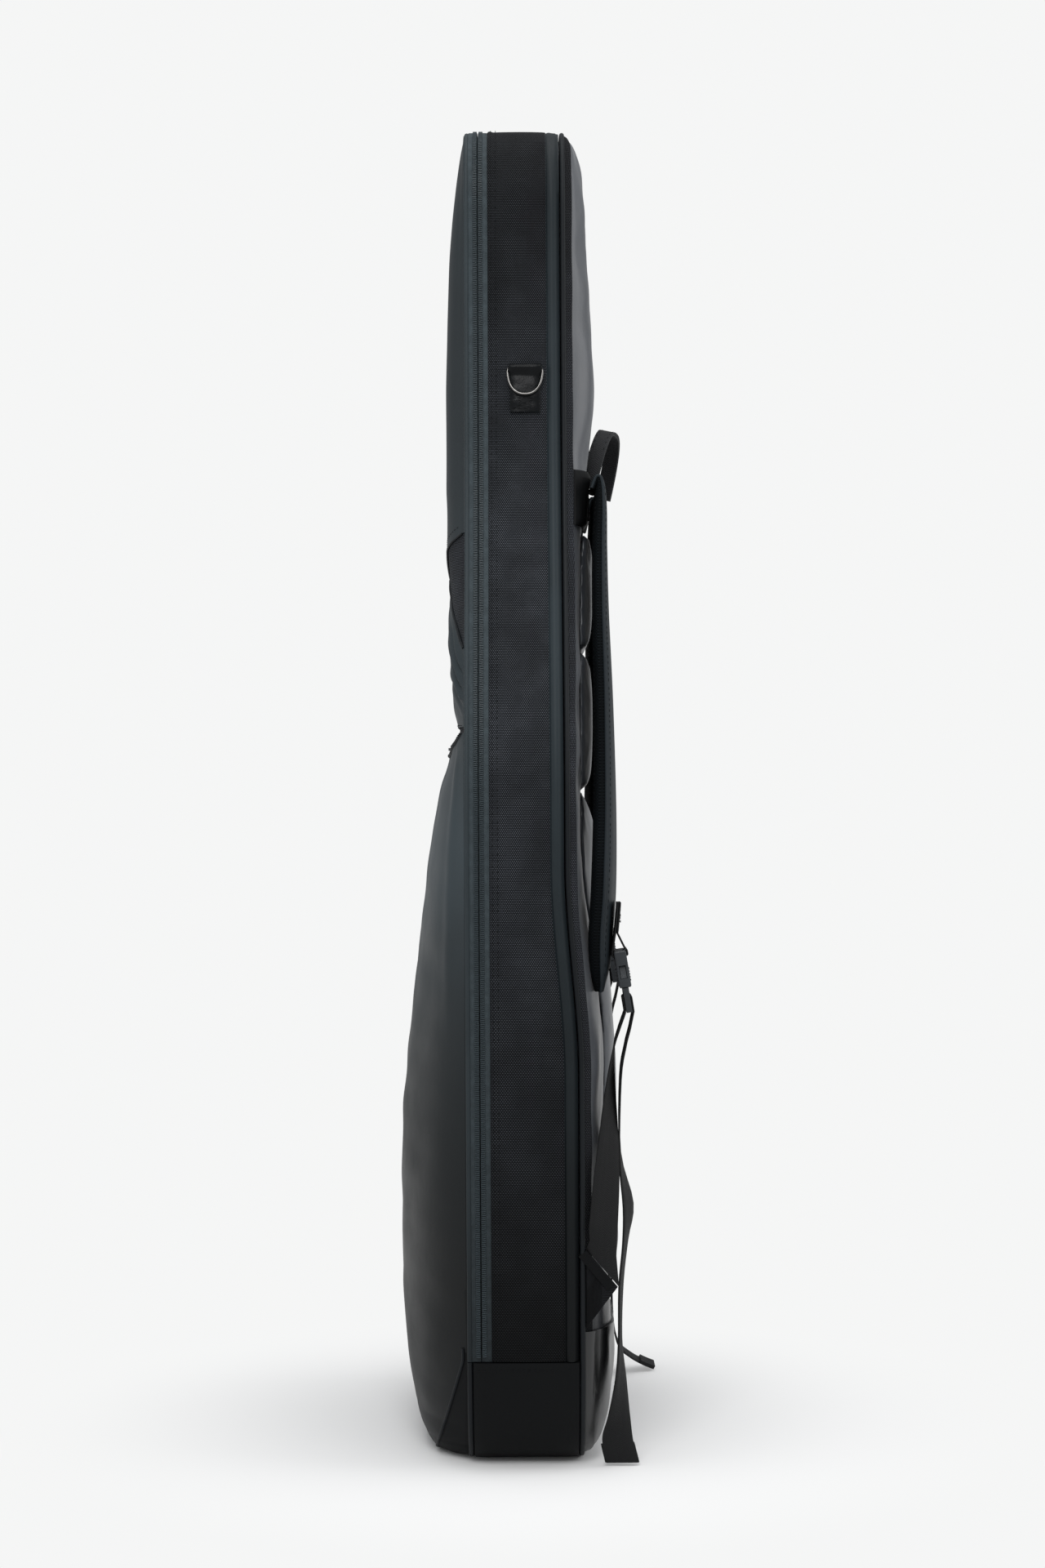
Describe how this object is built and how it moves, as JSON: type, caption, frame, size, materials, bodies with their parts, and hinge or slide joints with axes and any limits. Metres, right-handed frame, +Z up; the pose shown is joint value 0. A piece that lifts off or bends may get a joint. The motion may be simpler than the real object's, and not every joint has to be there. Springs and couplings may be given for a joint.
{
  "type": "guitar gig bag",
  "caption": "Padded soft bag for an electric guitar, standing upright, with a zipped lid that folds open, front pockets, shoulder straps, grab handle, carrying handle and D rings.",
  "frame": {"origin": "on the floor, in the middle of the bag's flat base", "axes": "X across the bag's width; -Y towards the lid with its pockets, +Y towards the back with its shoulder straps; +Z up to the head end"},
  "size_m": [0.4184, 0.2114, 1.036],
  "materials": {
    "canvas": "woven, matt",
    "boot_cloth": "heavy smooth cloth",
    "smooth_cloth": "coated, slightly shiny",
    "zip_tape": "ribbed tape",
    "piping": "smooth cord edge",
    "back_cloth": "coated, slightly shiny",
    "webbing": "woven webbing",
    "strap_cloth": "woven, padded",
    "leather": "grained, semi-matt",
    "foam": "soft foam with a cloth skin",
    "chrome": "polished",
    "buckle_plastic": "moulded",
    "dark_metal": "dark plated"
  },
  "bodies": {
    "bag": {"adjuster_web_far": "webbing", "adjuster_web_near": "webbing", "back_boot": "boot_cloth", "back_pad_lower": "back_cloth", "back_pad_middle": "back_cloth", "back_pad_upper": "back_cloth", "back_panel": "back_cloth", "back_piping": "piping", "bottom_boot": "boot_cloth", "bottom_bumper": "foam", "buckle_plug_far": "buckle_plastic", "buckle_plug_near": "buckle_plastic", "buckle_socket_far": "buckle_plastic", "buckle_socket_near": "buckle_plastic", "carry_grip": "leather", "carry_handle": "webbing", "carry_patch_lower": "leather", "carry_patch_upper": "leather", "d_ring_far_tab": "leather", "d_ring_near_tab": "leather", "grab_handle_base": "webbing", "lower_anchor_far": "canvas", "lower_anchor_near": "canvas", "neck_cradle": "foam", "pocket_toe": "boot_cloth", "shoulder_strap_far": "strap_cloth", "shoulder_strap_near": "strap_cloth", "side_gusset_far": "canvas", "side_gusset_near": "canvas", "strap_anchor_far": "boot_cloth", "strap_anchor_near": "boot_cloth", "strap_tab_far": "webbing", "strap_tab_near": "webbing", "toe_panel": "canvas", "toe_piping": "piping", "zip_tape_body": "zip_tape"},
    "lid": {"front_panel": "smooth_cloth", "front_piping": "piping", "zip_tape_lid": "zip_tape", "lower_pocket": "smooth_cloth", "upper_pocket": "canvas", "pocket_zip_tape": "zip_tape", "pocket_welt": "piping"},
    "d_ring_near": {"d_ring_near": "chrome"},
    "d_ring_far": {"d_ring_far": "chrome"},
    "neck_strap_near": {"neck_strap_near": "webbing"},
    "neck_strap_far": {"neck_strap_far": "webbing"},
    "grab_handle": {"grab_handle": "webbing"},
    "main_slider_upper": {"main_slider_upper": "dark_metal"},
    "main_slider_lower": {"main_slider_lower": "dark_metal"},
    "main_pull_upper": {"main_pull_upper": "dark_metal"},
    "main_pull_lower": {"main_pull_lower": "dark_metal"},
    "pocket_slider": {"pocket_slider": "dark_metal"},
    "pocket_pull": {"pocket_pull": "dark_metal"}
  },
  "joints": [
    {"name": "lid_fold", "type": "hinge", "parent": "bag", "child": "lid", "pos_m": [0, -0.0983, 0.086], "axis": [1, 0, 0], "range_deg": [0, 95]},
    {"name": "d_ring_near_swing", "type": "hinge", "parent": "bag", "child": "d_ring_near", "pos_m": [0.10827, 0.0035, 0.8395], "axis": [0, -1, 0], "range_deg": [0, 150]},
    {"name": "d_ring_far_swing", "type": "hinge", "parent": "bag", "child": "d_ring_far", "pos_m": [-0.10827, 0.0035, 0.8395], "axis": [0, 1, 0], "range_deg": [0, 150]},
    {"name": "neck_strap_near_fold", "type": "hinge", "parent": "bag", "child": "neck_strap_near", "pos_m": [0.047, 0.0024, 0.765], "axis": [0, 0, 1], "range_deg": [0, 100]},
    {"name": "neck_strap_far_fold", "type": "hinge", "parent": "bag", "child": "neck_strap_far", "pos_m": [-0.047, 0.0024, 0.765], "axis": [0, 0, -1], "range_deg": [0, 100]},
    {"name": "grab_handle_tilt", "type": "hinge", "parent": "bag", "child": "grab_handle", "pos_m": [0, 0.0607, 0.75299], "axis": [-1, 0, 0], "range_deg": [-4, 100]},
    {"name": "main_slider_upper_run", "type": "slide", "parent": "bag", "child": "main_slider_upper", "axis": [0, 0, 1], "range_m": [0, 0.08]},
    {"name": "main_slider_lower_run", "type": "slide", "parent": "bag", "child": "main_slider_lower", "axis": [0, 0, -1], "range_m": [0, 0.08]},
    {"name": "pocket_slider_run", "type": "slide", "parent": "lid", "child": "pocket_slider", "axis": [1, 0, 0], "range_m": [0, 0.13]},
    {"name": "main_pull_upper_swing", "type": "hinge", "parent": "main_slider_upper", "child": "main_pull_upper", "pos_m": [-0.19405, -0.0328, 0.412], "axis": [0, 1, 0], "range_deg": [0, 150]},
    {"name": "main_pull_lower_swing", "type": "hinge", "parent": "main_slider_lower", "child": "main_pull_lower", "pos_m": [-0.19405, -0.0328, 0.3894], "axis": [0, 1, 0], "range_deg": [0, 85]},
    {"name": "pocket_pull_swing", "type": "hinge", "parent": "pocket_slider", "child": "pocket_pull", "pos_m": [-0.0623, -0.05692, 0.54989], "axis": [0, 1, 0], "range_deg": [0, 40]}
  ]
}
